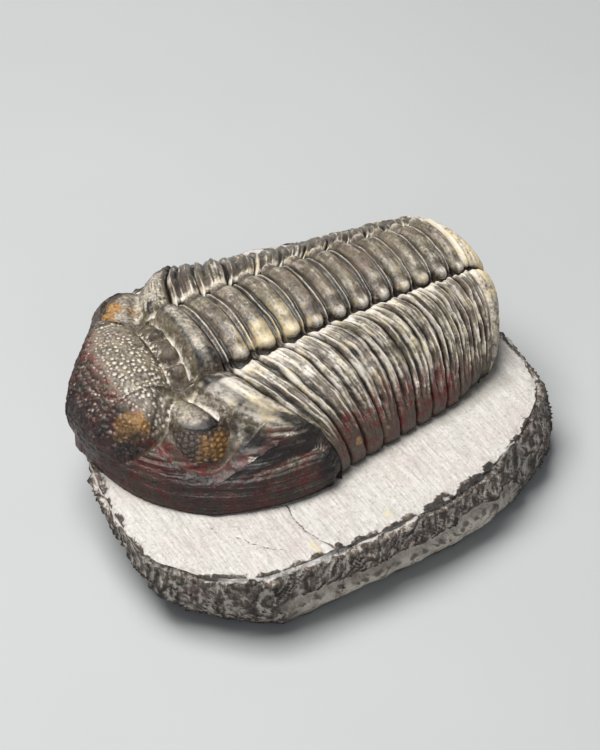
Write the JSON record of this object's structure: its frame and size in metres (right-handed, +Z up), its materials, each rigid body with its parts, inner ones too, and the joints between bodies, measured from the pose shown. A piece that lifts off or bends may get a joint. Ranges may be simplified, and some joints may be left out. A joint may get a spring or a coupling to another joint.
{
  "type": "trilobite fossil",
  "caption": "Fossil phacopid trilobite with a domed head, ribbed body and short tail, lying on a rough block of limestone.",
  "frame": {"origin": "on the surface that the block stands on, under the middle of the whole piece", "axes": "+Z up; the head points to -Y and the tail to +Y, so the animal's left side is towards +X"},
  "size_m": [0.0912, 0.0972, 0.0377],
  "materials": {
    "limestone": "off-white limestone, scraped flat on top, dark and tooled round the sides",
    "head_shell": "mineralised shell, brown with oxblood and ochre patches, warty, low gloss",
    "body_shell": "mineralised shell, grey-brown, pale on the ridges and near black in the furrows, low gloss",
    "eye_lenses": "rows of small mineralised lenses, orange brown, low gloss"
  },
  "bodies": {
    "root": {"matrix": "limestone", "cephalon": "head_shell", "left_eye": "eye_lenses", "right_eye": "eye_lenses", "thoracic_segment_01": "body_shell", "thoracic_segment_02": "body_shell", "thoracic_segment_03": "body_shell", "thoracic_segment_04": "body_shell", "thoracic_segment_05": "body_shell", "thoracic_segment_06": "body_shell", "thoracic_segment_07": "body_shell", "thoracic_segment_08": "body_shell", "thoracic_segment_09": "body_shell", "thoracic_segment_10": "body_shell", "thoracic_segment_11": "body_shell", "pygidium": "body_shell"}
  },
  "joints": []
}
